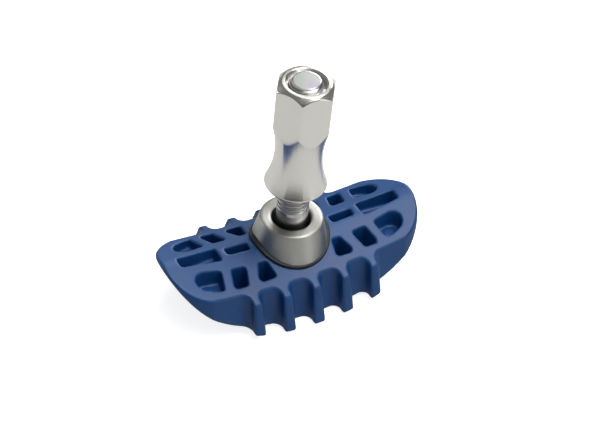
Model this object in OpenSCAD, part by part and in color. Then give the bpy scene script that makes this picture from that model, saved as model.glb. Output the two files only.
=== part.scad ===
// Rim lock for a spoked off-road motorcycle wheel.
// A ribbed plastic shoe is drawn up against the tyre beads by a stud, a saddle washer and a tall nut.
// X runs round the rim, Y across it, and Z along the stud, away from the tyre.
// The origin is where the stud's axis leaves the ridge of the shoe.

/* [Shoe] */
// Radius of the rim bed that the ridge is curved to, lengthwise
bed_r = 230; // [200:5:260]
// Slope of the two sides of the ridge, in degrees
roof_angle = 20; // [12:1:24]
// Radius along the top of the ridge
ridge_r = 8; // [4:0.5:12]
// Height from the underside to the ridge, at the stud
shoe_h = 14.9; // [13:0.1:18]
// Half width of the shoe body at its upper edge, between the ribs
body_half_w = 12; // [11.5:0.1:13]
// Depth of that upper edge below the ridge
body_edge_z = 3.84; // [3:0.01:5]
// Outward lean of the body walls, in degrees
body_lean = 14; // [8:1:16]
// Distance from the stud to the centre of each rounded end
end_x = 24.14; // [22:0.01:27]
// Radius of the rounded ends at the height of the ridge
end_r = 11.36; // [11:0.01:12]
// Radius of the middle of the underside
belly_r = 75; // [60:1:90]
// Radius of the underside towards the two ends
toe_r = 32; // [28:1:40]
// Angle at which the middle of the underside meets the ends, in degrees
belly_angle = 10; // [6:1:12]

/* [Ribs] */
// Number of grip ribs on each side
rib_count = 5; // [3:2:5]
// Distance from rib to rib
rib_pitch = 8.17; // [7:0.01:8.5]
// Half width of the shoe over the rib tips, at their upper edge
rib_half_w = 15.4; // [14:0.1:16]
// Depth of the rib tips' upper edge below the ridge
rib_edge_z = 5.1; // [4:0.1:6]
// Outward lean of the rib tips, in degrees
rib_lean = 17; // [10:1:20]
// Thickness of a rib at its upper edge
rib_top_w = 1.9; // [1.4:0.1:3]
// Thickness of a rib at the underside
rib_foot_w = 3.4; // [2.4:0.1:4.5]

/* [Pockets] */
// Corner radius of the pockets in the top of the shoe
pocket_corner = 0.8; // [0.3:0.1:0.9]

/* [Stud] */
// Diameter over the stud's thread and shank
stud_d = 7.9; // [7.8:0.01:8]
// Height of the stud's end above the ridge
stud_end_z = 47.9; // [46:0.1:52]
// Chamfer at the stud's end
stud_chamfer = 0.6; // [0.3:0.1:1]
// Width across the flats of the stud's head, inside the shoe
head_af = 13; // [12:0.1:14]
// Height of the stud's head
head_h = 5.3; // [4:0.1:5.5]
// Depth of the underside of the head's bearing face below the ridge
head_top_z = 6.2; // [5:0.1:7]

/* [Saddle washer and seal] */
// Height of the washer's top face above the ridge
washer_top_z = 5.68; // [5:0.01:7]
// Radius of the washer's top face
washer_top_r = 7.9; // [7.2:0.1:8.4]
// Radius of the washer's skirt
washer_foot_r = 10.2; // [9.2:0.1:10.4]
// Radius of the hole in the washer
washer_bore_r = 5; // [4.6:0.1:5.5]
// Thickness of the seal under the washer
seal_t = 0.75; // [0.5:0.05:1.2]
// Outer radius of the seal
seal_r = 10.1; // [9.9:0.05:10.5]
// Inner radius of the seal
seal_bore_r = 4.3; // [4.1:0.1:4.8]

/* [Nut] */
// Width across the flats of the nut
nut_af = 13; // [12.7:0.1:14]
// Height of the nut's lower end above the ridge
nut_foot_z = 16.45; // [14:0.05:19]
// Height of the nut's upper end above the ridge
nut_top_z = 47.5; // [46:0.1:50]
// Radius of the nut's foot, where it is widest
bulb_r = 7.65; // [7.2:0.05:8]
// Smallest radius of the nut's waist
waist_r = 5.77; // [5.4:0.01:6.2]
// Radius of the curve that forms the waist
waist_curve_r = 25; // [20:1:30]
// Turn of the hexagon about the stud, in degrees
nut_turn = -5.5; // [-30:0.5:30]

/* [Hidden] */
$fn = 96;

gap = 0.05;            // between loose neighbours
nut_bore_r = stud_d / 2 + gap;
far = 22;              // half width of the blanks that other shapes are cut from
long = 80;             // length of those blanks
bed_sweep = 12;        // half angle of the saddle solid about the wheel's axle
ridge_steps = 5;       // flats that round the top of the ridge
blank_top = 6;         // height and depth of the blanks that form the shoe's walls
blank_foot = -17;
belly_x = belly_r * sin(belly_angle);
toe_x = (belly_r - toe_r) * sin(belly_angle);
toe_z = belly_r - shoe_h - (belly_r - toe_r) * cos(belly_angle);
waist_z = 26.8;        // height of the narrowest point of the waist
hex_from_z = 27;       // the hexagon is milled from here up
bulb_curve_r = 1;      // rounding of the edge of the nut's foot
bulb_curve_z = nut_foot_z + bulb_curve_r;
ring_r = 5.95;         // outer radius of the flat ring on top of the nut
ring_drop = 1.9;       // depth of the chamfer round that ring, at the corners
sink_r = 5.03;         // mouth of the countersink in the top of the nut
edge = 0.3;            // small turned chamfers

// Pockets: each is [outline in the quarter where x and y are positive, floor height].
row_pockets = [
    [[[9.2, 5.1], [11.4, 5.1], [13.1, 9], [12.2, 9.8], [8.4, 9.6]], -9.5],
    [[[14.8, 5.0], [18.8, 4.9], [20, 9.3], [19.3, 9.9], [16.4, 9.8]], -8],
    [[[21.4, 4.6], [26.4, 3.9], [27.9, 4.4], [28.8, 5.6],
      [28.6, 7.1], [27.5, 8.3], [25.4, 9.1], [22.7, 9.6]], -4.2]
];
// Slots along the ridge: each is [inner x, outer x, inner half width, outer half width, floor height].
ridge_slots = [
    [11.5, 17.9, 1.25, 1.15, -8],
    [19.8, 30.6, 2.2, 1.5, -2.6]
];

function unit(v) = v / norm(v);

// An outline with each corner rounded by an arc of radius r, for corners that all turn the same way.
function rounded(points, r, steps = 5) = [
    for (i = [0 : len(points) - 1])
        let (
            p = points[i],
            u = unit(points[(i + len(points) - 1) % len(points)] - p),
            v = unit(points[(i + 1) % len(points)] - p),
            half = acos(u * v) / 2,
            c = p + unit(u + v) * r / sin(half),
            from = unit(p + u * r / tan(half) - c),
            to = unit(p + v * r / tan(half) - c),
            turn = 180 - 2 * half
        )
        for (k = [0 : steps])
            c + r * (from * sin(turn * (1 - k / steps)) + to * sin(turn * k / steps)) / sin(turn)
];

// The ridge seen from the end of the shoe: two slopes that meet in an arc.
module ridge_outline() {
    side = ridge_r * sin(roof_angle);
    drop = ridge_r * (1 - cos(roof_angle));
    eaves = -drop - (far - side) * tan(roof_angle);
    crest = [
        for (k = [0 : ridge_steps])
            let (a = (2 * k / ridge_steps - 1) * roof_angle)
            ridge_r * [sin(a), cos(a) - 1]
    ];
    left = [[-far, 2 * blank_foot], [-far, eaves]];
    right = [[far, eaves], [far, 2 * blank_foot]];
    polygon(concat(left, crest, right));
}

// Everything below the saddle surface: the ridge outline turned about the wheel's axle.
module below_saddle(lift) {
    translate([0, 0, bed_r])
        rotate([90, 0, 0])
            rotate([0, 0, -90 - bed_sweep])
                rotate_extrude(angle = 2 * bed_sweep, $fn = 360)
                    translate([bed_r - lift, 0]) rotate([0, 0, 90]) ridge_outline();
}

// A wall outline across the shoe that leans outwards going down, through half_w at edge_z.
module leaning_outline(half_w, edge_z, lean) {
    top_w = half_w - (blank_top + edge_z) * tan(lean);
    foot_w = half_w - (blank_foot + edge_z) * tan(lean);
    polygon([[-top_w, blank_top], [top_w, blank_top], [foot_w, blank_foot], [-foot_w, blank_foot]]);
}

// A shape drawn across the shoe (y, z), drawn out along X.
module along_x(length) {
    rotate([90, 0, 90]) linear_extrude(length, center = true) children();
}

// A shape drawn along the shoe (x, z), drawn out along Y.
module along_y(length) {
    rotate([90, 0, 0]) linear_extrude(length, center = true) children();
}

module shoe_body() {
    intersection() {
        along_x(long) leaning_outline(body_half_w, body_edge_z, body_lean);
        union() {
            translate([-end_x, -far, blank_foot]) cube([2 * end_x, 2 * far, blank_top - blank_foot]);
            for (side = [-1, 1])
                translate([side * end_x, 0, blank_foot])
                    cylinder(
                        h = blank_top - blank_foot,
                        r1 = end_r - blank_foot * tan(body_lean),
                        r2 = end_r - blank_top * tan(body_lean)
                    );
        }
    }
}

module ribs() {
    intersection() {
        along_x(long) leaning_outline(rib_half_w, rib_edge_z, rib_lean);
        for (i = [0 : rib_count - 1])
            translate([(i - (rib_count - 1) / 2) * rib_pitch, 0, 0])
                along_y(2 * far)
                    polygon([
                        [-rib_foot_w / 2, blank_foot], [rib_foot_w / 2, blank_foot],
                        [rib_top_w / 2, 0], [-rib_top_w / 2, 0]
                    ]);
    }
}

// Everything above the underside, which is flatter in the middle than towards the toes.
module above_underside() {
    along_y(2 * far) {
        intersection() {
            translate([0, belly_r - shoe_h]) circle(r = belly_r, $fn = 360);
            translate([-belly_x, blank_foot]) square([2 * belly_x, 2 * far]);
        }
        for (side = [0, 1])
            mirror([side, 0])
                intersection() {
                    translate([toe_x, toe_z]) circle(r = toe_r, $fn = 180);
                    translate([belly_x, blank_foot]) square([2 * far, 2 * far]);
                }
    }
}

module pockets() {
    for (mx = [0, 1], my = [0, 1])
        mirror([mx, 0, 0])
            mirror([0, my, 0])
                for (p = row_pockets)
                    translate([0, 0, p[1]])
                        linear_extrude(blank_top - p[1]) polygon(rounded(p[0], pocket_corner));
    for (mx = [0, 1])
        mirror([mx, 0, 0])
            for (s = ridge_slots)
                translate([0, 0, s[4]])
                    linear_extrude(blank_top - s[4])
                        polygon(rounded(
                            [[s[0], -s[2]], [s[1], -s[3]], [s[1], s[3]], [s[0], s[2]]], pocket_corner
                        ));
}

// The moulded plastic shoe, cast round the stud's head.
module shoe() {
    color("#3C5C9C")
        difference() {
            intersection() {
                below_saddle(0);
                above_underside();
                union() {
                    shoe_body();
                    ribs();
                }
            }
            pockets();
            stud_blank();
        }
}

module stud_blank() {
    translate([0, 0, -head_top_z - head_h]) cylinder(h = head_h, r = head_af / sqrt(3), $fn = 6);
    translate([0, 0, -head_top_z - 1])
        cylinder(h = stud_end_z - stud_chamfer + head_top_z + 1, d = stud_d);
}

// The steel stud, with a hexagon head that the shoe keeps from turning.
module stud() {
    color("#B9B7B4") {
        stud_blank();
        translate([0, 0, stud_end_z - stud_chamfer])
            cylinder(h = stud_chamfer, r1 = stud_d / 2, r2 = stud_d / 2 - stud_chamfer);
    }
}

// The rubber ring between the washer and the rim.
module seal() {
    color("#22303A")
        difference() {
            intersection() {
                translate([0, 0, -seal_r]) cylinder(h = 2 * seal_r, r = seal_r);
                below_saddle(gap + seal_t);
            }
            below_saddle(gap);
            translate([0, 0, -seal_r]) cylinder(h = 2 * seal_r, r = seal_bore_r);
        }
}

// The turned metal washer, whose underside is a saddle that sits across the rim.
module washer() {
    foot_z = -4;
    color("#A9A7A2")
        difference() {
            rotate_extrude()
                polygon([
                    [washer_bore_r, foot_z],
                    [washer_foot_r, foot_z],
                    [washer_top_r, washer_top_z - edge],
                    [washer_top_r - edge, washer_top_z],
                    [washer_bore_r + edge, washer_top_z],
                    [washer_bore_r, washer_top_z - edge]
                ]);
            below_saddle(seal_t + 2 * gap);
        }
}

// Half section of the nut: the waist is a concave arc that flares to a flat foot with a rounded edge.
module nut_section() {
    difference() {
        union() {
            translate([0, bulb_curve_z]) square([bulb_r, nut_top_z - ring_drop - bulb_curve_z]);
            translate([0, nut_foot_z]) square([bulb_r - bulb_curve_r, bulb_curve_r]);
            intersection() {
                translate([bulb_r - bulb_curve_r, bulb_curve_z]) circle(r = bulb_curve_r);
                translate([bulb_r - bulb_curve_r, nut_foot_z]) square(bulb_curve_r);
            }
            polygon([
                [0, nut_top_z - ring_drop], [bulb_r, nut_top_z - ring_drop],
                [ring_r, nut_top_z], [0, nut_top_z]
            ]);
        }
        translate([waist_r + waist_curve_r, waist_z]) circle(r = waist_curve_r, $fn = 180);
    }
}

// The tall aluminium nut.
module nut() {
    color("#D2CFCA")
        difference() {
            intersection() {
                rotate_extrude() nut_section();
                union() {
                    cylinder(h = hex_from_z, r = bulb_r + 1);
                    translate([0, 0, hex_from_z - 1])
                        rotate([0, 0, nut_turn])
                            cylinder(h = nut_top_z - hex_from_z + 2, r = nut_af / sqrt(3), $fn = 6);
                }
            }
            cylinder(h = nut_top_z + 1, r = nut_bore_r);
            translate([0, 0, nut_top_z - (sink_r - nut_bore_r)])
                cylinder(h = sink_r - nut_bore_r, r1 = nut_bore_r, r2 = sink_r);
        }
}

shoe();
stud();
seal();
washer();
nut();
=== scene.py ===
"""Looks of a rim lock for a spoked off-road motorcycle wheel.

A ribbed nylon shoe sits inside the tyre. Its steel stud comes through the rim and takes a rubber seal,
a turned saddle washer and a tall waisted nut. Sizes in the classes are in millimetres, in the frame of
the solids: X runs round the rim, Y across it, and Z along the stud. Meshes are made in metres.
"""

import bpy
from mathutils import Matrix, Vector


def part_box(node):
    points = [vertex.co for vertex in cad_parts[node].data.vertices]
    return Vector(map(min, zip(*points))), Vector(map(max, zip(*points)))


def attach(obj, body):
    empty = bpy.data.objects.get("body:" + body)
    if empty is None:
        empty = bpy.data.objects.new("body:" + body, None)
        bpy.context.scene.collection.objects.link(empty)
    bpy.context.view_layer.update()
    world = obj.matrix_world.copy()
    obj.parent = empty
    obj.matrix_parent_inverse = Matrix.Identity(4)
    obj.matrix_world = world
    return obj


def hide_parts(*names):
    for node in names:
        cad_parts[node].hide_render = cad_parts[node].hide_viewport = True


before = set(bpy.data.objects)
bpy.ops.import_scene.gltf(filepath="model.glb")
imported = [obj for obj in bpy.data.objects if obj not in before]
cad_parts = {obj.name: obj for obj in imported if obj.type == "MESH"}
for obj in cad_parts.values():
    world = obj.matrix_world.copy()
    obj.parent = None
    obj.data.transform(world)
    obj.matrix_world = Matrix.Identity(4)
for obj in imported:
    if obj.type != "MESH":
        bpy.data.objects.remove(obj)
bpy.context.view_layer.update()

import logging
import math
from dataclasses import dataclass, field
from enum import Enum
from typing import Any

import bpy
import numpy as np
from mathutils import Matrix, Vector

LOG = logging.getLogger("rim_lock")
MM = 0.001
PITCH = 1.25  # of the M8 coarse thread


# ---- nodes and colours


def linear(hex_colour: str) -> tuple[float, float, float, float]:
    """Turns an sRGB hex colour into a linear one.

    Args:
        hex_colour: A colour such as "#2A4E8E".

    Returns:
        Linear red, green, blue and an alpha of 1.
    """
    shares = [int(hex_colour[i : i + 2], 16) / 255 for i in (1, 3, 5)]
    return (*[s / 12.92 if s <= 0.04045 else ((s + 0.055) / 1.055) ** 2.4 for s in shares], 1.0)


def scale(size_mm: float) -> float:
    """Returns the texture scale that makes a pattern's grain so many millimetres wide."""
    return 1 / (size_mm * MM)


def fill(tree: bpy.types.NodeTree, node: Any, inputs: dict[Any, Any]) -> None:
    """Sets the inputs of a node.

    Args:
        tree: The node's tree.
        node: The node.
        inputs: Input name or number to a value, or to an output socket that is linked to it.
    """
    for key, value in inputs.items():
        if isinstance(value, bpy.types.NodeSocket):
            tree.links.new(value, node.inputs[key])
        else:
            node.inputs[key].default_value = value


def add(tree: bpy.types.NodeTree, kind: str, inputs: dict[Any, Any] | None = None, **settings: Any) -> Any:
    """Adds one node with its settings and links.

    Args:
        tree: The node tree that gets the node.
        kind: The node's type name.
        inputs: What its inputs are filled with.
        **settings: Attributes of the node.

    Returns:
        The new node.
    """
    node = tree.nodes.new(kind)
    for name, value in settings.items():
        setattr(node, name, value)
    fill(tree, node, inputs or {})
    return node


def set_stops(node: Any, stops: list[tuple[float, Any]]) -> None:
    """Sets a colour ramp's stops.

    Args:
        node: A colour ramp node with its two first stops.
        stops: Position and linear colour of each stop, in order.
    """
    elements = node.color_ramp.elements
    while len(elements) < len(stops):
        elements.new(0.5)
    for element, (position, colour) in zip(elements, stops):
        element.position = position
        element.color = colour


def start_material(name: str) -> tuple[bpy.types.Material, bpy.types.NodeTree, Any, Any]:
    """Starts a material whose patterns lie on Object coordinates.

    Args:
        name: The material's name.

    Returns:
        The material, its tree, its shader, and the socket that gives a point's place on the piece.
    """
    material = bpy.data.materials.new(name)
    material.use_nodes = True
    tree = material.node_tree
    place = add(tree, "ShaderNodeTexCoord").outputs["Object"]
    return material, tree, tree.nodes["Principled BSDF"], place


# ---- finishes


@dataclass(frozen=True)
class MouldedNylon:
    """Glass-filled nylon, injection moulded in a spark-eroded mould.

    The erosion leaves a fine even grain that breaks up the gloss. The filler shows as slight clouding.
    """

    colour: str = "#034B8A"
    cloud: str = "#03427E"
    roughness: float = 0.45
    grain_mm: float = 0.30  # the real grain of 0.05 mm is too fine to show
    grain_depth_mm: float = 0.03
    cloud_mm: float = 9.0

    def material(self) -> bpy.types.Material:
        """Returns the material."""
        material, tree, shader, place = start_material("moulded_glass_filled_nylon")
        grain_size = {"Vector": place, "Scale": scale(self.grain_mm), "Detail": 2.0}
        cloud_size = {"Vector": place, "Scale": scale(self.cloud_mm), "Detail": 4.0}
        grain = add(tree, "ShaderNodeTexNoise", grain_size).outputs[0]
        cloud = add(tree, "ShaderNodeTexNoise", cloud_size).outputs[0]
        ramp = add(tree, "ShaderNodeValToRGB", {"Fac": cloud})
        set_stops(ramp, [(0.35, linear(self.cloud)), (0.65, linear(self.colour))])
        spread = {"Value": cloud, "To Min": self.roughness - 0.05, "To Max": self.roughness + 0.06}
        gloss = add(tree, "ShaderNodeMapRange", spread)
        relief = {"Strength": 0.10, "Distance": self.grain_depth_mm * MM, "Height": grain}
        bump = add(tree, "ShaderNodeBump", relief)
        fill(tree, shader, {"Base Color": ramp.outputs[0], "Roughness": gloss.outputs[0]})
        fill(tree, shader, {"Normal": bump.outputs[0], "IOR": 1.53})
        return material


class Marks(Enum):
    """Which way the tool marks of a machined surface run."""

    TURNED = "turned"
    DRAWN = "drawn"


@dataclass(frozen=True)
class MachinedMetal:
    """Bare or plated metal straight from the lathe or the drawing die.

    Turned faces have fine grooves round the axis, and drawn flats have faint lines along it.
    """

    name: str
    colour: str
    shade: str
    roughness: float
    marks: Marks = Marks.TURNED
    spread: float = 0.75  # how much more a turned face scatters across its grooves than along them
    mark_mm: float = 0.16  # the real feed of 0.08 mm a turn is drawn twice as coarse
    mark_depth_mm: float = 0.02
    depth: float = 0.12
    smear_mm: float = 6.0

    def material(self) -> bpy.types.Material:
        """Returns the material."""
        material, tree, shader, place = start_material(self.name)
        split = add(tree, "ShaderNodeSeparateXYZ", {"Vector": place}).outputs
        across = {"X": split["X"], "Y": split["Y"]}
        if self.marks is Marks.TURNED:
            flat = add(tree, "ShaderNodeCombineXYZ", across).outputs[0]
            radius = add(tree, "ShaderNodeVectorMath", {0: flat}, operation="LENGTH")
            across = {"X": radius.outputs["Value"], "Y": split["Z"]}
            around = add(tree, "ShaderNodeVectorMath", {0: place, 1: (0, 0, -1)}, operation="CROSS_PRODUCT")
            quarter_turn = 0.25
            fill(tree, shader, {"Tangent": around.outputs[0], "Anisotropic": self.spread})
            fill(tree, shader, {"Anisotropic Rotation": quarter_turn})
        lines = add(tree, "ShaderNodeCombineXYZ", across).outputs[0]
        mark_size = {"Vector": lines, "Scale": scale(self.mark_mm), "Detail": 3.0, "Roughness": 0.6}
        smear_size = {"Vector": place, "Scale": scale(self.smear_mm), "Detail": 3.0}
        mark = add(tree, "ShaderNodeTexNoise", mark_size).outputs[0]
        smear = add(tree, "ShaderNodeTexNoise", smear_size).outputs[0]
        tones = {"Factor": smear, "A": linear(self.shade), "B": linear(self.colour)}
        tone = add(tree, "ShaderNodeMix", tones, data_type="RGBA")
        spread = {"Value": mark, "To Min": self.roughness - 0.06, "To Max": self.roughness + 0.08}
        gloss = add(tree, "ShaderNodeMapRange", spread)
        relief = {"Strength": self.depth, "Distance": self.mark_depth_mm * MM, "Height": mark}
        bump = add(tree, "ShaderNodeBump", relief)
        fill(tree, shader, {"Base Color": tone.outputs["Result"], "Roughness": gloss.outputs[0]})
        fill(tree, shader, {"Normal": bump.outputs[0], "Metallic": 1.0})
        return material


@dataclass(frozen=True)
class ZincPlate:
    """Bright zinc plate on rolled steel, passivated, with a faint violet and green bloom."""

    colours: tuple[str, str, str] = ("#C0C6C0", "#C8C8C8", "#C2BECA")
    roughness: float = 0.20
    bloom_mm: float = 4.0
    peel_mm: float = 0.5
    peel_depth_mm: float = 0.02

    def material(self) -> bpy.types.Material:
        """Returns the material."""
        material, tree, shader, place = start_material("zinc_plated_steel")
        bloom_size = {"Vector": place, "Scale": scale(self.bloom_mm), "Detail": 2.0}
        peel_size = {"Vector": place, "Scale": scale(self.peel_mm), "Detail": 2.0}
        bloom = add(tree, "ShaderNodeTexNoise", bloom_size).outputs[0]
        peel = add(tree, "ShaderNodeTexNoise", peel_size).outputs[0]
        ramp = add(tree, "ShaderNodeValToRGB", {"Fac": bloom})
        set_stops(ramp, [(p, linear(c)) for p, c in zip((0.35, 0.5, 0.65), self.colours)])
        spread = {"Value": peel, "To Min": self.roughness - 0.05, "To Max": self.roughness + 0.08}
        gloss = add(tree, "ShaderNodeMapRange", spread)
        relief = {"Strength": 0.15, "Distance": self.peel_depth_mm * MM, "Height": peel}
        bump = add(tree, "ShaderNodeBump", relief)
        fill(tree, shader, {"Base Color": ramp.outputs[0], "Roughness": gloss.outputs[0]})
        fill(tree, shader, {"Normal": bump.outputs[0], "Metallic": 1.0})
        return material


@dataclass(frozen=True)
class MouldedRubber:
    """Black nitrile rubber, moulded, with a dull skin that picks up a little dust."""

    colour: str = "#0C1216"
    dust: str = "#162024"
    roughness: float = 0.55
    skin_mm: float = 0.6
    skin_depth_mm: float = 0.03

    def material(self) -> bpy.types.Material:
        """Returns the material."""
        material, tree, shader, place = start_material("black_nitrile_rubber")
        skin_size = {"Vector": place, "Scale": scale(self.skin_mm), "Detail": 4.0}
        skin = add(tree, "ShaderNodeTexNoise", skin_size).outputs[0]
        ramp = add(tree, "ShaderNodeValToRGB", {"Fac": skin})
        set_stops(ramp, [(0.4, linear(self.colour)), (0.75, linear(self.dust))])
        relief = {"Strength": 0.25, "Distance": self.skin_depth_mm * MM, "Height": skin}
        bump = add(tree, "ShaderNodeBump", relief)
        fill(tree, shader, {"Base Color": ramp.outputs[0], "Normal": bump.outputs[0]})
        fill(tree, shader, {"Roughness": self.roughness, "IOR": 1.52})
        return material


# ---- mesh helpers


@dataclass
class Skin:
    """A mesh being put together: points in millimetres, faces, and each face's material number."""

    points: list[np.ndarray] = field(default_factory=list)
    faces: list[tuple[int, ...]] = field(default_factory=list)
    slots: list[int] = field(default_factory=list)
    count: int = 0

    def ring(self, angles: np.ndarray, radius: Any, height: Any) -> np.ndarray:
        """Adds a ring of points round the stud's axis.

        Args:
            angles: The points' angles, in radians and rising.
            radius: One radius, or one for each point.
            height: One height, or one for each point.

        Returns:
            The points' numbers.
        """
        radius = np.broadcast_to(radius, angles.shape)
        height = np.broadcast_to(height, angles.shape)
        self.points.append(np.stack([radius * np.cos(angles), radius * np.sin(angles), height], 1))
        self.count += len(angles)
        return np.arange(self.count - len(angles), self.count)

    def band(self, low: np.ndarray, high: np.ndarray, slot: int = 0) -> None:
        """Joins two rings of as many points with four-sided faces that look outwards.

        Args:
            low: The numbers of the ring that comes first going up the outside.
            high: The numbers of the next ring.
            slot: The faces' material number.
        """
        for i in range(len(low)):
            j = (i + 1) % len(low)
            self.faces.append((low[i], low[j], high[j], high[i]))
            self.slots.append(slot)

    def zip_up(self, low: np.ndarray, high: np.ndarray, slot: int = 0) -> None:
        """Joins two rings whose points stand at different angles with triangles.

        Args:
            low: The numbers of the ring that comes first going up the outside.
            high: The numbers of the next ring.
            slot: The faces' material number.
        """
        points = np.concatenate(self.points)
        turn = [np.mod(np.arctan2(points[r, 1], points[r, 0]), 2 * math.pi) for r in (low, high)]
        a, b = low[np.argsort(turn[0])], high[np.argsort(turn[1])]
        ta, tb = np.sort(turn[0]), np.sort(turn[1])
        i = j = 0
        while i < len(a) or j < len(b):
            next_a = ta[i + 1] if i + 1 < len(a) else ta[0] + 2 * math.pi
            next_b = tb[j + 1] if j + 1 < len(b) else tb[0] + 2 * math.pi
            if j >= len(b) or (i < len(a) and next_a <= next_b):
                self.faces.append((a[i], a[(i + 1) % len(a)], b[j % len(b)]))
                i += 1
            else:
                self.faces.append((a[i % len(a)], b[(j + 1) % len(b)], b[j]))
                j += 1
            self.slots.append(slot)

    def cap(self, ring: np.ndarray, upwards: bool, slot: int = 0) -> None:
        """Closes a ring with one flat face.

        Args:
            ring: The ring's point numbers.
            upwards: Whether the face looks up.
            slot: The face's material number.
        """
        self.faces.append(tuple(ring if upwards else ring[::-1]))
        self.slots.append(slot)

    def take(self, mesh: bpy.types.Mesh) -> tuple[np.ndarray, np.ndarray]:
        """Adds another mesh that is open at both ends, such as a thread.

        Args:
            mesh: The mesh, in metres.

        Returns:
            The point numbers of its lowest ring and of its highest ring, by rising angle.
        """
        co = np.zeros(len(mesh.vertices) * 3)
        mesh.vertices.foreach_get("co", co)
        co = co.reshape(-1, 3) / MM
        start = self.count
        self.points.append(co)
        self.count += len(co)
        for polygon in mesh.polygons:
            self.faces.append(tuple(start + v for v in polygon.vertices))
            self.slots.append(0)
        rings = []
        for level in (co[:, 2].min(), co[:, 2].max()):
            at = np.flatnonzero(np.abs(co[:, 2] - level) < 1e-4)
            turn = np.mod(np.arctan2(co[at, 1], co[at, 0]) + 1e-6, 2 * math.pi)
            rings.append(start + at[np.argsort(turn)])
        return rings[0], rings[1]

    def object(self, name: str, materials: list[bpy.types.Material]) -> bpy.types.Object:
        """Makes the object, with smooth shading.

        Args:
            name: The object's name.
            materials: Its materials, by number.

        Returns:
            The object, at the origin.
        """
        mesh = bpy.data.meshes.new(name)
        faces = [tuple(int(v) for v in f) for f in self.faces]
        mesh.from_pydata((np.concatenate(self.points) * MM).tolist(), [], faces)
        for material in materials:
            mesh.materials.append(material)
        mesh.polygons.foreach_set("material_index", self.slots)
        mesh.validate()
        mesh.shade_smooth()
        mesh.update()
        made = bpy.data.objects.new(name, mesh)
        bpy.context.scene.collection.objects.link(made)
        return made


def finish_piece(piece: bpy.types.Object, body: str, node: str) -> None:
    """Makes a piece ride on its body and stand for its solid.

    Args:
        piece: The piece.
        body: The body it rides on.
        node: The solid it stands for.
    """
    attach(piece, body)
    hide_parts(node)
    low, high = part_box(node)
    points = np.array([v.co for v in piece.data.vertices])
    over = max(np.max(np.array(low) - points.min(0)), np.max(points.max(0) - np.array(high))) / MM
    triangles = sum(len(p.vertices) - 2 for p in piece.data.polygons)
    LOG.info("%s: %d triangles, %.3f mm past its solid's box", piece.name, triangles, over)


def round_max(a: np.ndarray, b: np.ndarray, radius: float) -> np.ndarray:
    """Where two solids are cut to what they share, with the edge rounded.

    Args:
        a: Signed distances to the first, below 0 inside.
        b: Signed distances to the second.
        radius: The rounding's radius.

    Returns:
        Signed distances to the result.
    """
    corner = np.hypot(np.maximum(radius + a, 0), np.maximum(radius + b, 0))
    return np.minimum(-radius, np.maximum(a, b)) + corner


def round_min(a: np.ndarray, b: np.ndarray, radius: float) -> np.ndarray:
    """Where two solids are joined with a fillet. Its arguments and result are those of round_max."""
    return -round_max(-a, -b, radius)


# ---- the thread


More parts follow.
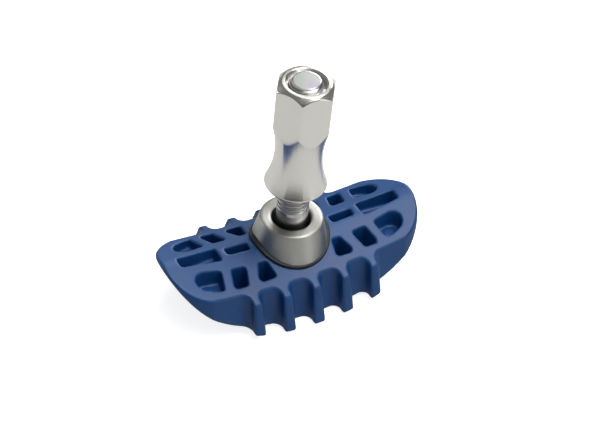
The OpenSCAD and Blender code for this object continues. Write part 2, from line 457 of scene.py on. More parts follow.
@dataclass
class Thread:
    """A right-hand thread, wound by Geometry Nodes, open at both ends.

    A grid of points is wrapped round the axis so that its rows climb one pitch a turn. Rows past an end
    fall together there and are merged, so each end is a true circle that other faces can join.
    """

    bottom: float
    top: float
    low_r: float
    high_r: float
    fullness: float  # share of the pitch at the larger radius
    side: float  # 1 for a thread on a stud, -1 for one in a nut
    bottom_r: float
    top_r: float
    runout: float
    segments: int = 72
    steps: int = 12
    merge_mm: float = 0.001

    def sizes(self) -> dict[str, float | int]:
        """Returns the tree's inputs, lengths in metres. The rows leave a turn to spare at each end."""
        turns = math.ceil(self.top / PITCH - math.floor(self.bottom / PITCH) + 1)
        return {
            "Bottom": self.bottom * MM,
            "Top": self.top * MM,
            "Low Radius": self.low_r * MM,
            "High Radius": self.high_r * MM,
            "Fullness": self.fullness,
            "Side": self.side,
            "Bottom Radius": self.bottom_r * MM,
            "Top Radius": self.top_r * MM,
            "Runout": self.runout * MM,
            "Pitch": PITCH * MM,
            "Segments": self.segments,
            "Rows": self.steps * turns,
            "Steps": self.steps,
        }

    def tree(self) -> bpy.types.NodeTree:
        """Builds the tree that winds the thread.

        Returns:
            The tree, with a named input for each size.
        """
        tree = bpy.data.node_groups.new("wound_thread", "GeometryNodeTree")
        face = tree.interface
        face.new_socket("Geometry", in_out="OUTPUT", socket_type="NodeSocketGeometry")
        for name, value in self.sizes().items():
            kind = "NodeSocketInt" if isinstance(value, int) else "NodeSocketFloat"
            face.new_socket(name, in_out="INPUT", socket_type=kind)
        given = add(tree, "NodeGroupInput").outputs
        across = add(tree, "ShaderNodeMath", {0: given["Segments"], 1: 1.0}, operation="ADD").outputs[0]
        along = add(tree, "ShaderNodeMath", {0: given["Rows"], 1: 1.0}, operation="ADD").outputs[0]
        sheet = {"Size X": 1.0, "Size Y": 1.0, "Vertices X": across, "Vertices Y": along}
        grid = add(tree, "GeometryNodeMeshGrid", sheet)
        place = add(tree, "GeometryNodeInputPosition").outputs[0]
        split = add(tree, "ShaderNodeSeparateXYZ", {0: place}).outputs
        known = {name: given[name] for name in self.sizes()}
        known.update(x=split["X"], y=split["Y"])
        lines = (
            ("turn", "ADD", "x", 0.5),
            ("share", "ADD", "y", 0.5),
            ("row", "MULTIPLY", "share", "Rows"),
            ("turns", "DIVIDE", "row", "Steps"),
            ("foot", "DIVIDE", "Bottom", "Pitch"),
            ("whole", "FLOOR", "foot"),
            ("first", "SUBTRACT", "whole", 1.0),
            ("level", "ADD", "first", "turns"),
            ("climb", "ADD", "level", "turn"),
            ("raw", "MULTIPLY", "climb", "Pitch"),
            ("raised", "MAXIMUM", "raw", "Bottom"),
            ("height", "MINIMUM", "raised", "Top"),
            ("phase", "MULTIPLY", "turns", 2 * math.pi),
            ("wave", "COSINE", "phase"),
            ("swell", "MULTIPLY_ADD", "wave", 0.75, "Fullness"),
            ("shut", "MAXIMUM", "swell", 0.0),
            ("crest", "MINIMUM", "shut", 1.0),
            ("depth", "SUBTRACT", "High Radius", "Low Radius"),
            ("cut", "MULTIPLY_ADD", "crest", "depth", "Low Radius"),
            ("risen", "SUBTRACT", "height", "Bottom"),
            ("begun", "DIVIDE", "risen", "Runout"),
            ("fade", "MINIMUM", "begun", 1.0),
            ("inset", "SUBTRACT", "cut", "High Radius"),
            ("faded", "MULTIPLY_ADD", "inset", "fade", "High Radius"),
            ("foot cone", "MULTIPLY_ADD", "risen", "Side", "Bottom Radius"),
            ("left", "SUBTRACT", "Top", "height"),
            ("top cone", "MULTIPLY_ADD", "left", "Side", "Top Radius"),
            ("a", "MULTIPLY", "faded", "Side"),
            ("b", "MULTIPLY", "foot cone", "Side"),
            ("c", "MULTIPLY", "top cone", "Side"),
            ("ab", "MINIMUM", "a", "b"),
            ("abc", "MINIMUM", "ab", "c"),
            ("radius", "MULTIPLY", "abc", "Side"),
            ("angle", "MULTIPLY", "turn", 2 * math.pi),
            ("cos", "COSINE", "angle"),
            ("sin", "SINE", "angle"),
            ("X", "MULTIPLY", "cos", "radius"),
            ("Y", "MULTIPLY", "sin", "radius"),
        )
        for name, operation, *terms in lines:
            inputs = {i: known.get(term, term) for i, term in enumerate(terms)}
            known[name] = add(tree, "ShaderNodeMath", inputs, operation=operation).outputs[0]
        spot = add(tree, "ShaderNodeCombineXYZ", {"X": known["X"], "Y": known["Y"], "Z": known["height"]})
        moved = {"Geometry": grid.outputs["Mesh"], "Position": spot.outputs[0]}
        wound = add(tree, "GeometryNodeSetPosition", moved)
        doubles = {"Geometry": wound.outputs[0], "Distance": self.merge_mm * MM}
        merged = add(tree, "GeometryNodeMergeByDistance", doubles)
        inner = add(tree, "FunctionNodeCompare", {0: given["Side"], 1: 0.0}, operation="LESS_THAN")
        inside_out = {"Mesh": merged.outputs[0], "Selection": inner.outputs[0]}
        turned = add(tree, "GeometryNodeFlipFaces", inside_out)
        real = add(tree, "GeometryNodeRealizeInstances", {"Geometry": turned.outputs[0]})
        dressed = add(tree, "GeometryNodeSetMaterial", {"Geometry": real.outputs[0]})
        add(tree, "NodeGroupOutput", {0: dressed.outputs[0]})
        return tree

    def mesh(self, material: bpy.types.Material) -> bpy.types.Mesh:
        """Winds the thread and returns it as a plain mesh.

        Args:
            material: The thread's material.

        Returns:
            The mesh, in metres.
        """
        tree = self.tree()
        tree.nodes["Set Material"].inputs["Material"].default_value = material
        values = self.sizes()
        holder = bpy.data.objects.new("thread_holder", bpy.data.meshes.new("thread_holder"))
        bpy.context.scene.collection.objects.link(holder)
        winder = holder.modifiers.new("wound_thread", "NODES")
        winder.node_group = tree
        for item in tree.interface.items_tree:
            if item.item_type == "SOCKET" and item.in_out == "INPUT":
                winder[item.identifier] = values[item.name]
        seen = holder.evaluated_get(bpy.context.evaluated_depsgraph_get())
        mesh = bpy.data.meshes.new_from_object(seen)
        holder.modifiers.clear()
        bpy.data.objects.remove(holder)
        return mesh


# ---- the rim's saddle


@dataclass(frozen=True)
class Saddle:
    """The surface of the rim bed that the shoe, the seal and the washer all follow."""

    bed_r: float = 230.0
    slope: float = math.radians(20)
    ridge_r: float = 8.0

    def fall(self, y: np.ndarray) -> np.ndarray:
        """How far the two slopes have fallen from the ridge.

        Args:
            y: Places across the rim.

        Returns:
            The falls, from 0 on the ridge.
        """
        across = np.abs(y)
        side = self.ridge_r * math.sin(self.slope)
        crest = self.ridge_r - np.sqrt(np.maximum(self.ridge_r**2 - np.minimum(across, side) ** 2, 0))
        return crest + np.maximum(across - side, 0) * math.tan(self.slope)

    def height(self, x: np.ndarray, y: np.ndarray, lift: float) -> np.ndarray:
        """Returns the height of the surface raised by a lift, at x and y."""
        reach = self.bed_r - lift + self.fall(y)
        return self.bed_r - np.sqrt(reach**2 - x**2)

    def above(self, points: np.ndarray) -> np.ndarray:
        """How far points stand above the surface.

        Args:
            points: Places, in millimetres.

        Returns:
            Signed distances, below 0 under the surface.
        """
        x, y, z = points.T
        tilt = np.minimum(np.abs(y) / self.ridge_r, math.sin(self.slope))
        reach = np.hypot(x, self.bed_r - z)
        return (self.bed_r + self.fall(y) - reach) * np.sqrt(1 - tilt**2)


SADDLE = Saddle()


# ---- the shoe


@dataclass
class Shoe:
    """The moulded nylon shoe: a boat-shaped saddle with five grip ribs a side and cored-out pockets.

    Its fillets run into each other everywhere, so it is drawn as a signed distance and meshed from that.
    """

    shoe_h: float = 14.9
    half_w: float = 12.0
    edge_z: float = 3.84
    lean: float = math.radians(14)
    end_x: float = 24.14
    end_r: float = 11.36
    belly_r: float = 75.0
    toe_r: float = 32.0
    belly_angle: float = math.radians(10)
    rib_pitch: float = 8.17
    rib_half_w: float = 15.4
    rib_edge_z: float = 5.1
    rib_lean: float = math.radians(17)
    rib_top_w: float = 1.9
    rib_foot_w: float = 3.4
    rib_foot_z: float = 17.0
    rib_fillet: float = 1.9
    rib_edge_r: float = 0.6
    rim_edge_r: float = 0.55
    toe_edge_r: float = 0.6
    draft: float = 0.035
    mouth_r: float = 0.35
    floor_r: float = 0.7
    corner_r: float = 0.8
    pin_r: float = 1.5
    pin_rise: float = 0.25
    pin_edge: float = 0.4
    pin_floor: float = -5.0  # ejector marks stand only on floors above this
    stud_r: float = 3.95
    head_af: float = 13.0
    head_h: float = 5.3
    head_top: float = -6.2
    cell: float = 0.35
    row_pockets: tuple = (
        (((9.2, 5.1), (11.4, 5.1), (13.1, 9.0), (12.2, 9.8), (8.4, 9.6)), -9.5),
        (((14.8, 5.0), (18.8, 4.9), (20.0, 9.3), (19.3, 9.9), (16.4, 9.8)), -8.0),
        (
            ((21.4, 4.6), (26.4, 3.9), (27.9, 4.4), (28.8, 5.6),
             (28.6, 7.1), (27.5, 8.3), (25.4, 9.1), (22.7, 9.6)),
            -4.2,
        ),
    )
    ridge_slots: tuple = ((11.5, 17.9, 1.25, 1.15, -8.0), (19.8, 30.6, 2.2, 1.5, -2.6))
    pin_at: tuple = (25.6, 6.5)

    def outline(self, corners: tuple, x: np.ndarray, y: np.ndarray) -> np.ndarray:
        """Signed distance to an outline with rounded corners.

        Args:
            corners: The outline's sharp corners, in order round it.
            x: Places along the shoe.
            y: Places across it.

        Returns:
            The distance in the plane, below 0 inside.
        """
        p = np.array(corners)
        before = np.roll(p, 1, 0) - p
        after = np.roll(p, -1, 0) - p
        before /= np.linalg.norm(before, axis=1)[:, None]
        after /= np.linalg.norm(after, axis=1)[:, None]
        half = np.arccos(np.sum(before * after, 1)) / 2
        middle = before + after
        middle /= np.linalg.norm(middle, axis=1)[:, None]
        core = p + middle * (self.corner_r / np.sin(half))[:, None]
        nearest = np.full(x.shape, 1e9)
        inside = np.zeros(x.shape, bool)
        for (x1, y1), (x2, y2) in zip(core, np.roll(core, -1, 0)):
            dx, dy = x2 - x1, y2 - y1
            t = np.clip(((x - x1) * dx + (y - y1) * dy) / (dx * dx + dy * dy), 0, 1)
            nearest = np.minimum(nearest, np.hypot(x - x1 - t * dx, y - y1 - t * dy))
            if abs(dy) > 1e-12:
                inside ^= ((y1 > y) != (y2 > y)) & (x < dx * (y - y1) / dy + x1)
        return np.where(inside, -nearest, nearest) - self.corner_r

    def walls(self, x: np.ndarray, y: np.ndarray, z: np.ndarray) -> np.ndarray:
        """Signed distance to the body's walls with the ribs, without top or underside.

        Args:
            x: Places along the shoe, from its middle.
            y: Places across it, from its middle.
            z: Heights.

        Returns:
            Distances, below 0 inside the plastic.
        """
        slope = math.tan(self.lean)
        flat = (y - self.half_w + (z + self.edge_z) * slope) * math.cos(self.lean)
        beyond = np.maximum(x - self.end_x, 0)
        end = (np.hypot(beyond, y) - self.end_r + z * slope) * math.cos(self.lean)
        body = np.maximum(flat, end)
        tip = y - self.rib_half_w + (z + self.rib_edge_z) * math.tan(self.rib_lean)
        tip = tip * math.cos(self.rib_lean)
        grow = (self.rib_foot_w - self.rib_top_w) / 2 / self.rib_foot_z
        cheek = np.full(x.shape, 1e9)
        for i in range(-1, 3):
            cheek = np.minimum(cheek, np.abs(x - i * self.rib_pitch) - self.rib_top_w / 2 + z * grow)
        ribs = round_max(cheek, tip, self.rib_edge_r)
        return round_min(body, ribs, self.rib_fillet)

    def below(self, x: np.ndarray, z: np.ndarray) -> np.ndarray:
        """Signed distance below the underside, which is flatter in the middle than at the toes.

        Args:
            x: Places along the shoe, from its middle.
            z: Heights.

        Returns:
            Distances, below 0 inside the plastic.
        """
        belly_z = self.belly_r - self.shoe_h
        toe_x = (self.belly_r - self.toe_r) * math.sin(self.belly_angle)
        toe_z = belly_z - (self.belly_r - self.toe_r) * math.cos(self.belly_angle)
        belly = np.hypot(x, z - belly_z) - self.belly_r
        toe = np.hypot(x - toe_x, z - toe_z) - self.toe_r
        return np.where(x > (belly_z - z) * math.tan(self.belly_angle), toe, belly)

    def distance(self, points: np.ndarray) -> np.ndarray:
        """Signed distance to the whole shoe.

        Args:
            points: Places, in millimetres.

        Returns:
            Distances, below 0 inside the plastic.
        """
        x, y, z = np.abs(points[:, 0]), np.abs(points[:, 1]), points[:, 2]
        top = SADDLE.above(points)
        solid = round_max(self.walls(x, y, z), top, self.rim_edge_r)
        solid = round_max(solid, self.below(x, z), self.toe_edge_r)
        pin = np.hypot(x - self.pin_at[0], y - self.pin_at[1])
        pad = self.pin_rise * np.clip((self.pin_r + self.pin_edge / 2 - pin) / self.pin_edge, 0, 1)
        for corners, floor in self.row_pockets:
            level = floor + (pad if floor > self.pin_floor else 0)
            hole = round_max(self.outline(corners, x, y) - self.draft * top, level - z, self.floor_r)
            solid = round_max(solid, -hole, self.mouth_r)
        for near, far, near_w, far_w, floor in self.ridge_slots:
            corners = ((near, -near_w), (far, -far_w), (far, far_w), (near, near_w))
            hole = round_max(self.outline(corners, x, y) - self.draft * top, floor - z, self.floor_r)
            solid = round_max(solid, -hole, self.mouth_r)
        shank = np.maximum(np.hypot(x, y) - self.stud_r, self.head_top - 1 - z)
        hexagon = np.maximum(y, x * math.cos(math.pi / 6) + y / 2) - self.head_af / 2
        head = np.maximum(hexagon, np.abs(z - self.head_top + self.head_h / 2) - self.head_h / 2)
        return np.maximum(solid, -np.minimum(shank, head))

    def slope(self, points: np.ndarray) -> np.ndarray:
        """Finds the direction in which the distance grows fastest.

        Args:
            points: Places, in millimetres.

        Returns:
            One direction for each point, about 1 long.
        """
        step = 0.02
        shifts = np.eye(3) * step
        rises = [(self.distance(points + d) - self.distance(points - d)) / (2 * step) for d in shifts]
        return np.stack(rises, 1)

    def build(self, material: bpy.types.Material) -> bpy.types.Object:
        """Meshes the distance field and settles the points on the surface.

        Args:
            material: The shoe's material.

        Returns:
            The object.
        """
        low, high = (np.array(c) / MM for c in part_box("shoe"))
        n = np.ceil(high[:2] / self.cell + 1).astype(int)
        xs, ys = (np.arange(k + 1) * self.cell for k in n)
        zs = np.arange(low[2] - 2 * self.cell, high[2] + 2 * self.cell, self.cell)
        places = np.stack(np.meshgrid(xs, ys, zs, indexing="ij"), -1).reshape(-1, 3)
        quarter = self.distance(places).reshape(len(xs), len(ys), len(zs))
        values = quarter[np.abs(np.arange(-n[0], n[0] + 1))][:, np.abs(np.arange(-n[1], n[1] + 1))]
        points, quads = nets(values)
        points = points * self.cell + [-n[0] * self.cell, -n[1] * self.cell, zs[0]]
        sides = np.concatenate([quads[:, [i, (i + 1) % 4]] for i in range(4)])
        edges = np.unique(np.sort(sides, 1), axis=0)
        ends = np.concatenate([edges, edges[:, ::-1]])
        degree = np.bincount(ends[:, 0], minlength=len(points))[:, None]
        for relax in (0.4, 0.4, 0.3, 0.0, 0.0):
            sums = [np.bincount(ends[:, 0], points[ends[:, 1], k], len(points)) for k in range(3)]
            points = points + relax * (np.stack(sums, 1) / degree - points)
            slope = self.slope(points)
            size = np.maximum(np.sum(slope**2, 1), 0.25)
            points = points - slope * (self.distance(points) / size)[:, None]
        points = np.clip(points, low, high)
        faces = [tuple(quad) for quad in quads]
        skin = Skin(points=[points], faces=faces, slots=[0] * len(faces), count=len(points))
        return skin.object("moulded_shoe", [material])


def nets(values: np.ndarray) -> tuple[np.ndarray, np.ndarray]:
    """Meshes the zero surface of a grid of signed distances, one point in each cell it crosses.

    Args:
        values: The distances at the grid's points.

    Returns:
        The mesh's points in grid steps, and its quads, which look towards positive values.
    """
    inside = values < 0
    shape = tuple(s - 1 for s in values.shape)
    corners = [(i, j, k) for i in (0, 1) for j in (0, 1) for k in (0, 1)]
    count = np.zeros(shape, np.int8)
    for i, j, k in corners:
        count += inside[i : i + shape[0], j : j + shape[1], k : k + shape[2]]
    cells = np.argwhere((count > 0) & (count < 8))
    number = np.full(shape, -1)
    number[tuple(cells.T)] = np.arange(len(cells))
    total, hits = np.zeros((len(cells), 3)), np.zeros((len(cells), 1))
    for a in corners:
        for axis in range(3):
            if a[axis]:
                continue
            b = tuple(c + (m == axis) for m, c in enumerate(a))
            va, vb = (values[tuple((cells + c).T)] for c in (a, b))
            cross = (va < 0) != (vb < 0)
            t = np.where(cross, va / np.where(cross, va - vb, 1), 0)
            spot = np.array(a, float) + t[:, None] * np.eye(3)[axis]
            total += np.where(cross[:, None], spot, 0)
            hits += cross[:, None]
    points = cells + total / hits
    quads = []
    for axis in range(3):
        u, v = (axis + 1) % 3, (axis + 2) % 3
        first = np.take(inside, range(shape[axis]), axis)
        second = np.take(inside, range(1, shape[axis] + 1), axis)
        at = np.argwhere(first != second)
        at = at[(at[:, u] > 0) & (at[:, v] > 0) & (at[:, u] < shape[u]) & (at[:, v] < shape[v])]
        du, dv = np.eye(3, dtype=int)[u], np.eye(3, dtype=int)[v]
        quad = np.stack([number[tuple((at - o).T)] for o in (du + dv, dv, 0 * du, du)], 1)
        leaves = first[tuple(at.T)]
        quads.append(np.where(leaves[:, None], quad, quad[:, ::-1]))
    return points, np.concatenate(quads)


# ---- the turned pieces


@dataclass
class Stud:
    """The steel stud: a hexagon head held in the shoe, a plain shank, and a rolled thread above it."""

    radius: float = 3.95
    end_z: float = 47.9
    end_r: float = 3.33
    groove_r: float = 3.34
    thread_z: float = 9.2
    head_af: float = 13.0
    head_h: float = 5.3
    head_top: float = -6.2
    head_edge: float = 0.15
    head_fillet: float = 0.4
    shank_z: float = -5.0
    fullness: float = 0.46
    runout: float = 0.9
    segments: int = 72

    def build(self, material: bpy.types.Material) -> bpy.types.Object:
        """Builds the stud.

        Args:
            material: Its material.

        Returns:
            The object.
        """
        angles = np.arange(self.segments) * 2 * math.pi / self.segments
        sector = np.mod(angles, math.pi / 3) - math.pi / 6
        hexagon = self.head_af / 2 / np.cos(sector)
        skin = Skin()
        top, low = self.head_top, self.head_top - self.head_h
        profile = (
            (hexagon * 0.5, low),
            (hexagon * 0.98, low),
            (hexagon, low + self.head_edge),
            (hexagon, top - self.head_edge),
            (hexagon * 0.98, top),
            (self.radius + self.head_fillet, top),
            (self.radius + self.head_fillet / 4, top + self.head_fillet / 4),
            (self.radius, top + self.head_fillet),
        )
        rows = [skin.ring(angles, r, z) for r, z in profile]
        shank = np.linspace(self.shank_z, self.thread_z - 0.6, 12)
        rows += [skin.ring(angles, self.radius, z) for z in shank]
        for a, b in zip(rows, rows[1:]):
            skin.band(a, b)
        skin.cap(rows[0], upwards=False)
        thread = Thread(
            bottom=self.thread_z, top=self.end_z, low_r=self.groove_r, high_r=self.radius, side=1.0,
            fullness=self.fullness, bottom_r=self.radius + 0.01, top_r=self.end_r, runout=self.runout,
            segments=self.segments,
        )
        foot, end = skin.take(thread.mesh(material))
        skin.zip_up(rows[-1], foot)
        inner = skin.ring(angles, self.end_r - 0.25, self.end_z)
        skin.zip_up(end, inner)
        skin.cap(inner, upwards=True)
        return skin.object("threaded_stud", [material])


@dataclass
class Seal:
    """The rubber ring, bent to the saddle, between the washer and the rim."""

    low_lift: float = 0.05
    high_lift: float = 0.80
    inner_r: float = 4.3
    outer_r: float = 10.1
    edge_r: float = 0.25
    segments: int = 160

    def build(self, material: bpy.types.Material) -> bpy.types.Object:
        """Builds the seal.

        Args:
            material: Its material.

        Returns:
            The object.
        """
        angles = np.arange(self.segments) * 2 * math.pi / self.segments
        middle = (self.inner_r + self.outer_r) / 2
        half = (self.outer_r - self.inner_r) / 2
        corner = np.linspace(0, math.pi / 2, 5)
        e = self.edge_r
        loop = [(half - e + e * math.sin(a), self.low_lift + e - e * math.cos(a)) for a in corner]
        loop += [(half - e + e * math.cos(a), self.high_lift - e + e * math.sin(a)) for a in corner]
        inward = np.linspace(half - e, e - half, 9)[1:-1]
        outer = loop + [(s, self.high_lift) for s in inward]
        outer += [(-s, lift) for s, lift in loop[::-1]]
        outer += [(-s, self.low_lift) for s in inward]
        skin = Skin()
        rows = []
        for s, lift in outer:
            r = middle + s
            rows.append(skin.ring(angles, r, SADDLE.height(r * np.cos(angles), r * np.sin(angles), lift)))
        for a, b in zip(rows, rows[1:] + rows[:1]):
            skin.band(a, b)
        return skin.object("rubber_seal", [material])


@dataclass
class Washer:
    """The turned washer: a cone with a flat top, milled underneath to the saddle of the rim."""

    lift: float = 0.85
    bore_r: float = 5.0
    top_z: float = 5.68
    top_r: float = 7.9
    foot_r: float = 10.2
    foot_z: float = -4.0
    edge: float = 0.3
    segments: int = 192

    def cone_r(self, z: np.ndarray) -> np.ndarray:
        """Returns the cone's radius at a height."""
        share = (z - self.foot_z) / (self.top_z - self.edge - self.foot_z)
        return self.foot_r + (self.top_r - self.foot_r) * share

    def build(self, material: bpy.types.Material) -> bpy.types.Object:
        """Builds the washer.

        Args:
            material: Its material.

        Returns:
            The object.
        """
        angles = np.arange(self.segments) * 2 * math.pi / self.segments
        cos, sin = np.cos(angles), np.sin(angles)
        skirt = np.full(self.segments, self.foot_r)
        for _ in range(30):  # the skirt's radius and height settle on each other
            skirt = self.cone_r(SADDLE.height(skirt * cos, skirt * sin, self.lift))
        skin, rows = Skin(), []
        for share in np.linspace(0, 1, 12):
            r = self.bore_r + (skirt - 0.12 - self.bore_r) * share
            rows.append(skin.ring(angles, r, SADDLE.height(r * cos, r * sin, self.lift)))
        edge_z = SADDLE.height(skirt * cos, skirt * sin, self.lift)
        rows.append(skin.ring(angles, skirt - 0.03, edge_z + 0.04))
        low = edge_z + 0.14
        high = self.top_z - self.edge
        for share in np.linspace(0, 1, 16):
            z = low + (high - low) * share
            rows.append(skin.ring(angles, self.cone_r(z), z))
        rim, mouth = self.top_r - self.edge, self.bore_r + self.edge
        rows += [skin.ring(angles, r, z) for r, z in (
            (self.top_r - 0.02, high + 0.05),
            (rim + 0.03, self.top_z - 0.04),
            (rim - 0.03, self.top_z),
            (6.8, self.top_z),
            (6.0, self.top_z),
            (mouth + 0.04, self.top_z),
            (mouth - 0.03, self.top_z - 0.03),
            (self.bore_r + 0.03, high + 0.03),
            (self.bore_r, high - 0.04),
        )]
        for a, b in zip(rows, rows[1:]):
            skin.band(a, b)
        skin.band(rows[-1], rows[0])
        return skin.object("saddle_washer", [material])


@dataclass
class Nut:
    """The tall nut: hexagon bar turned to a waist that flares to a flat foot, with a chamfered top."""

    af: float = 13.0
    turn: float = math.radians(-5.5)
    foot_z: float = 16.45
    foot_r: float = 4.45
    top_z: float = 47.5
    bulb_r: float = 7.65
    bulb_curve_r: float = 1.0
    waist_r: float = 5.77
    waist_curve_r: float = 25.0
    waist_z: float = 26.8
    ring_r: float = 5.95
    ring_drop: float = 1.9
    sink_r: float = 5.03
    corner_r: float = 0.3
    waist_fillet: float = 0.12
    edge: float = 0.05  # width of the narrow bands that keep an edge crisp
    flare_z: float = 18.2
    neck_z: float = 30.0
    bore_r: float = 4.02
    crest_r: float = 3.44
    fullness: float = 0.56
    relief_r: float = 4.05
    relief_h: float = 3.9

    def hexagon(self, angles: np.ndarray) -> np.ndarray:
        """Radius of the hexagon, with its corners broken.

        Args:
            angles: Angles round the stud, in radians.

        Returns:
            The radius at each angle.
        """
        sector = np.mod(angles - self.turn + math.pi / 6, math.pi / 3) - math.pi / 6
        centre = (self.af / 2 - self.corner_r) / math.cos(math.pi / 6)
        limit = math.atan2(self.corner_r / 2, centre + self.corner_r * math.cos(math.pi / 6))
        flat = self.af / 2 / np.cos(math.pi / 6 - np.abs(sector))
        inside = np.maximum(self.corner_r**2 - (centre * np.sin(sector)) ** 2, 0)
        return np.where(np.abs(sector) < limit, centre * np.cos(sector) + np.sqrt(inside), flat)

    def turned(self, z: np.ndarray) -> np.ndarray:
        """Radius of the turned profile of foot and waist.

        Args:
            z: Heights.

        Returns:
            The radius at each height.
        """
        drop = np.clip((self.foot_z + self.bulb_curve_r - z) / self.bulb_curve_r, 0, 1)
        bulb = self.bulb_r - self.bulb_curve_r * (1 - np.sqrt(1 - drop**2))
        sag = np.sqrt(self.waist_curve_r**2 - (z - self.waist_z) ** 2)
        return round_min(bulb, self.waist_r + self.waist_curve_r - sag, self.waist_fillet)

    def rows(self, angles: np.ndarray) -> list[tuple[Any, Any, int]]:
        """Lists the rings that make the outside.

        Args:
            angles: The rings' angles.

        Returns:
            Radius, height and material number of each ring, from foot to countersink.
        """
        side = self.hexagon(angles)
        curve_z = self.foot_z + self.bulb_curve_r
        round_edge = np.cos(np.linspace(0.05, math.pi / 2, 12)[:-1])
        heights: list[Any] = list(curve_z - self.bulb_curve_r * round_edge)
        heights += list(np.linspace(curve_z, self.flare_z, 8)[:-1])
        heights += list(np.linspace(self.flare_z, self.neck_z, 24))
        reach = self.waist_r + self.waist_curve_r - side
        meet = self.waist_z + np.sqrt(self.waist_curve_r**2 - reach**2)
        heights += [self.neck_z + (meet - self.neck_z) * share for share in (0.25, 0.5, 0.75, 0.92)]
        flat_r = self.bulb_r - self.bulb_curve_r
        out = [(r, self.foot_z, 0) for r in (5.2, 6.0, flat_r - self.edge)]
        out += [(self.turned(z), z, 0) for z in heights]
        out.append((self.turned(meet - self.edge), meet - self.edge, 0))
        drop = self.bulb_r - side
        chamfer = self.top_z - self.ring_drop + drop * self.ring_drop / (self.bulb_r - self.ring_r)
        low, high = meet + self.edge, chamfer - self.edge
        out += [(side, low + (high - low) * share, 1) for share in np.linspace(0, 1, 10)]
        start, end = chamfer + self.edge, self.top_z - 0.06
        for share in (0.0, 0.3, 0.65, 0.97):
            out.append((side + (self.ring_r - side) * share, start + (end - start) * share, 0))
        out += [(r, self.top_z, 0) for r in (self.ring_r - 0.08, 5.5, self.sink_r + 0.06)]
        return out

    def build(self, turned: bpy.types.Material, drawn: bpy.types.Material) -> bpy.types.Object:
        """Builds the nut.

        Args:
            turned: The finish of the turned surfaces.
            drawn: The finish of the hexagon's flats.

        Returns:
            The object.
        """
        steps = np.radians([0.3, 0.6, 0.9, 1.16, 1.7, 2.6, 4.2, 7, 10.5, 14, 18, 22, 26, 30])
        sector = np.concatenate([[0], steps, math.pi / 3 - steps[-2::-1]])
        sides = [self.turn + i * math.pi / 3 + sector for i in range(6)]
        angles = np.sort(np.mod(np.concatenate(sides), 2 * math.pi))
        skin = Skin()
        foot = skin.ring(angles, self.foot_r, self.foot_z)
        rings = [(foot, 0)] + [(skin.ring(angles, r, z), slot) for r, z, slot in self.rows(angles)]
        for (a, _), (b, slot) in zip(rings, rings[1:]):
            skin.band(a, b, slot)
        thread = Thread(
            bottom=self.foot_z + self.relief_h, top=self.top_z, low_r=self.crest_r, high_r=self.bore_r,
            fullness=self.fullness, side=-1.0, bottom_r=self.relief_r - 0.02, top_r=self.sink_r,
            runout=self.edge,
        )
        low, high = skin.take(thread.mesh(turned))
        # Above the foot the bore is plain, so that the nut can run down over the stud's shank.
        relief_top = skin.ring(angles, self.relief_r, self.foot_z + self.relief_h - self.edge)
        relief_low = skin.ring(angles, self.relief_r, self.foot_z + self.foot_r - self.relief_r)
        skin.zip_up(low, relief_top)
        skin.band(relief_top, relief_low)
        skin.band(relief_low, foot)
        skin.zip_up(rings[-1][0], high)
        return skin.object("waisted_nut", [turned, drawn])


# ---- studio


@dataclass(frozen=True)
class Camera:
    """The camera: a long lens, above and to one side, rolled a little."""

    azimuth: float = math.radians(-33.365)
    elevation: float = math.radians(43.48)
    roll: float = math.radians(6.491)
    distance: float = 400.0
    lens: float = 97.2
    sensor: float = 36.0
    shift: tuple[float, float] = (0.01725, 0.03025)

    def build(self) -> bpy.types.Object:
        """Builds the camera and makes it the scene's.

        Returns:
            The camera.
        """
        a, e, r = self.azimuth, self.elevation, self.roll
        back = Vector((math.sin(a) * math.cos(e), -math.cos(a) * math.cos(e), math.sin(e)))
        level = Vector((math.cos(a), math.sin(a), 0))
        upright = back.cross(level)
        right = math.cos(r) * level + math.sin(r) * upright
        up = back.cross(right)
        data = bpy.data.cameras.new("camera")
        data.sensor_width = self.sensor
        data.lens = self.lens
        data.shift_x, data.shift_y = self.shift
        data.clip_start = 0.01
        camera = bpy.data.objects.new("camera", data)
        turn = Matrix((right, up, back)).transposed().to_4x4()
        camera.matrix_world = Matrix.Translation(back * self.distance * MM) @ turn
        bpy.context.scene.collection.objects.link(camera)
        bpy.context.scene.camera = camera
        return camera


@dataclass(frozen=True)
class Panel:
    """A flat panel that faces the object: a softbox when it glows, a black flag when it doesn't."""

    name: str
    azimuth: float
    elevation: float
    distance: float
    width: float
    height: float
    glow: float = 0.0
    colour: str = "#FFFFFF"

    def place(self, thing: bpy.types.Object) -> None:
        """Puts a light or a card where the panel stands, facing the middle of the object.

        Args:
            thing: The light or the card.
        """
        a, e = math.radians(self.azimuth), math.radians(self.elevation)
        away = Vector((math.cos(a) * math.cos(e), math.sin(a) * math.cos(e), math.sin(e)))
        turn = away.to_track_quat("Z", "Y").to_matrix().to_4x4()
        thing.matrix_world = Matrix.Translation(away * self.distance * MM + Vector((0, 0, 0.01))) @ turn
        bpy.context.scene.collection.objects.link(thing)
        thing.visible_camera = False

    def build(self) -> None:
        """Builds the panel."""
        w, h = self.width * MM, self.height * MM
        if self.glow:
            data = bpy.data.lights.new(self.name, "AREA")
            data.shape = "RECTANGLE"
            data.size, data.size_y = w, h
            data.energy = math.pi * w * h * self.glow
            data.color = linear(self.colour)[:3]
            self.place(bpy.data.objects.new(self.name, data))
            return
        card = flat_sheet(self.name, w, h, 0, paper(self.name, "#101010", 0.0))
        self.place(card)


def paper(name: str, colour: str, glow: float) -> bpy.types.Material:
    """Makes a matt stage material.

    Args:
        name: The material's name.
        colour: Its colour.
        glow: The strength of its own light.

    Returns:
        The material.
    """
    material, tree, shader, _ = start_material(name)
    fill(tree, shader, {"Base Color": linear(colour), "Roughness": 1.0, "Specular IOR Level": 0.0})
    fill(tree, shader, {"Emission Color": (1, 1, 1, 1), "Emission Strength": glow})
    return material


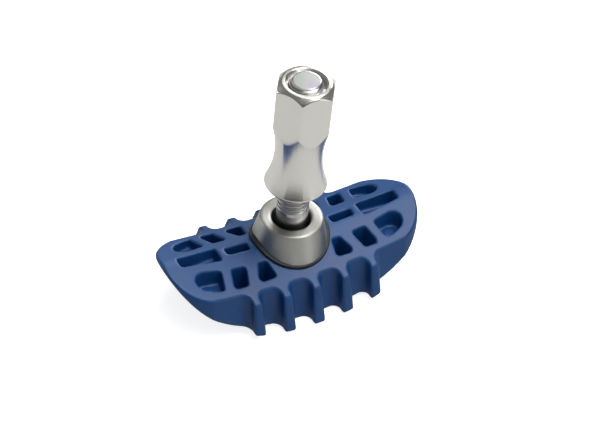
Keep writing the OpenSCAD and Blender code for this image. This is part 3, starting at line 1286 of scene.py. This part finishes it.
def flat_sheet(name: str, width: float, depth: float, height: float, material: Any) -> bpy.types.Object:
    """Makes a level rectangle round the stud's axis, not yet in the scene.

    Args:
        name: Its name.
        width: Its size along X, in metres.
        depth: Its size along Y.
        height: Its height.
        material: Its material.

    Returns:
        The rectangle.
    """
    w, d = width / 2, depth / 2
    mesh = bpy.data.meshes.new(name)
    corners = [(-w, -d, height), (w, -d, height), (w, d, height), (-w, d, height)]
    mesh.from_pydata(corners, [], [(0, 1, 2, 3)])
    mesh.materials.append(material)
    return bpy.data.objects.new(name, mesh)


@dataclass
class Studio:
    """A white table in a soft white tent, with black flags round the lens, in front and to the right.

    The table that is seen, the one that is mirrored and the one that throws light up are three sheets.
    """

    tent: float = 0.17
    floor_gap: float = 0.02
    sheet_gap: float = 0.1
    floor_size: float = 3000.0
    panels: tuple[Panel, ...] = (
        Panel("key", 330, 70, 900, 500, 500, 4.8),
        Panel("ceiling", 330, 76, 1000, 1400, 1000, 0.95),
        Panel("back", 40, 28, 1000, 460, 380, 4.8),
        Panel("back_high", 60, 50, 1000, 420, 300, 0.8),
        Panel("rim", 45, 6, 1100, 520, 130, 8.0),
        Panel("side", 135, 6, 1100, 520, 150, 4.0),
        Panel("front_right", 300, 15, 1000, 300, 400, 1.6),
        Panel("flag_right", 0, 5, 800, 400, 140),
        Panel("flag_front", 236.6, 4, 220, 260, 70),
        Panel("flag_lens", 236.6, 43.5, 430, 190, 190),
    )

    def sheet(self, name: str, height: float, material: bpy.types.Material) -> bpy.types.Object:
        """Lays a level sheet under the object.

        Args:
            name: The sheet's name.
            height: Its height, in metres.
            material: Its material.

        Returns:
            The sheet.
        """
        sheet = flat_sheet(name, self.floor_size * MM, self.floor_size * MM, height, material)
        bpy.context.scene.collection.objects.link(sheet)
        return sheet

    def build(self) -> None:
        """Builds the table, the tent, the lights and the flags."""
        gap = self.sheet_gap * MM
        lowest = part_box("shoe")[0].z - self.floor_gap * MM
        table = self.sheet("table", lowest, paper("white_table", "#F6F6F4", 0.80))
        table.visible_glossy = table.visible_diffuse = table.visible_shadow = False
        mirrored = self.sheet("mirrored_table", lowest - gap, paper("pale_table", "#A6A6A4", 0.28))
        mirrored.visible_camera = mirrored.visible_diffuse = mirrored.visible_shadow = False
        under = self.sheet("underlay", lowest - 2 * gap, paper("grey_underlay", "#A6A6A4", 0.0))
        under.visible_camera = under.visible_glossy = False
        world = bpy.data.worlds.new("tent")
        world.use_nodes = True
        seen = add(world.node_tree, "ShaderNodeLightPath").outputs["Is Camera Ray"]
        levels = {"Value": seen, "To Min": self.tent, "To Max": 1.0}
        glow = add(world.node_tree, "ShaderNodeMapRange", levels)
        background = world.node_tree.nodes["Background"]
        background.inputs["Color"].default_value = (1, 1, 1, 1)
        world.node_tree.links.new(glow.outputs[0], background.inputs["Strength"])
        bpy.context.scene.world = world
        for panel in self.panels:
            panel.build()


# ---- the whole lock


def main() -> None:
    """Builds the pieces in order, from the shoe up the stud, then the studio."""
    logging.basicConfig(level=logging.INFO, format="%(message)s")
    nylon = MouldedNylon().material()
    zinc = ZincPlate().material()
    rubber = MouldedRubber().material()
    washer_metal = MachinedMetal("turned_washer_steel", "#C0BFB9", "#B8B8B2", 0.38).material()
    bright = MachinedMetal("turned_aluminium", "#F0EEE8", "#EAE8E2", 0.20).material()
    drawn = MachinedMetal("drawn_aluminium_flats", "#F0EEE8", "#EAE8E2", 0.22, Marks.DRAWN).material()
    for piece, body, node, slot in (
        (Shoe().build(nylon), "shoe", "shoe", "nylon"),
        (Stud().build(zinc), "shoe", "stud", "stud_steel"),
        (Seal().build(rubber), "seal", "seal", "rubber"),
        (Washer().build(washer_metal), "washer", "washer", "washer_metal"),
        (Nut().build(bright, drawn), "nut", "nut", "nut_aluminium"),
    ):
        finish_piece(piece, body, node)
    Camera().build()
    Studio().build()
    bpy.context.scene.view_settings.view_transform = "Standard"


if __name__ == "__main__":
    main()
